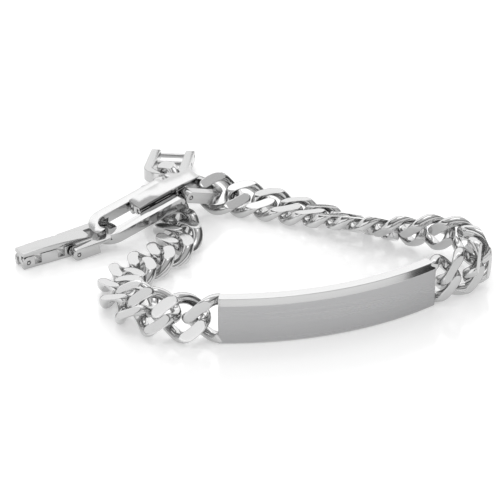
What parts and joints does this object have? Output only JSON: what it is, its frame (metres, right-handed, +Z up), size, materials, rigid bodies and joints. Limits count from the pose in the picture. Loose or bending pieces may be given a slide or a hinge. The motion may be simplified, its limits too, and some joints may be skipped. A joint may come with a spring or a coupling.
{
  "type": "identity bracelet",
  "caption": "Curb chain bracelet with a curved blank plate and a fold-over clasp with an extension frame, lying open-ended on a flat surface.",
  "frame": {"origin": "middle of the bounding box in plan, at the surface the bracelet lies on", "axes": "+Z up from the surface, the plate's outer face towards -Y, the clasp towards -X and +Y"},
  "size_m": [0.0776, 0.068, 0.0084],
  "materials": {
    "plate_steel": "brushed stainless steel with polished bevels",
    "link_steel": "polished stainless steel with ground flat faces",
    "clasp_steel": "polished stainless steel"
  },
  "bodies": {
    "root": {"id_plate": "plate_steel", "left_link_1": "link_steel", "left_link_2": "link_steel", "left_link_3": "link_steel", "left_link_4": "link_steel", "left_link_5": "link_steel", "left_link_6": "link_steel", "left_link_7": "link_steel", "left_link_8": "link_steel", "left_link_9": "link_steel", "left_link_10": "link_steel", "left_link_11": "link_steel", "left_link_12": "link_steel", "left_link_13": "link_steel", "right_link_1": "link_steel", "right_link_2": "link_steel", "right_link_3": "link_steel", "right_link_4": "link_steel", "right_link_5": "link_steel", "right_link_6": "link_steel", "right_link_7": "link_steel", "right_link_8": "link_steel", "right_link_9": "link_steel", "right_link_10": "link_steel", "right_link_11": "link_steel", "right_link_12": "link_steel", "right_link_13": "link_steel", "catch_frame": "clasp_steel", "extension_frame": "clasp_steel", "left_yoke": "clasp_steel", "right_yoke": "clasp_steel", "right_base": "clasp_steel"},
    "left_base": {"left_base": "clasp_steel"},
    "left_cover": {"left_cover": "clasp_steel"},
    "right_cover": {"right_cover": "clasp_steel"}
  },
  "joints": [
    {"name": "left_base_hinge", "type": "hinge", "parent": "root", "child": "left_base", "pos_m": [-0.03023, -0.0018, 0.0011], "axis": [-0.5446, 0.8387, 0], "range_deg": [0, 75]},
    {"name": "left_cover_hinge", "type": "hinge", "parent": "left_base", "child": "left_cover", "pos_m": [-0.03719, -0.00632, 0.0011], "axis": [0.5446, -0.8387, 0], "range_deg": [0, 90]},
    {"name": "right_cover_hinge", "type": "hinge", "parent": "root", "child": "right_cover", "pos_m": [-0.01885, 0.00572, 0.00424], "axis": [0.6241, -0.7633, -0.1668], "range_deg": [0, 90]}
  ]
}
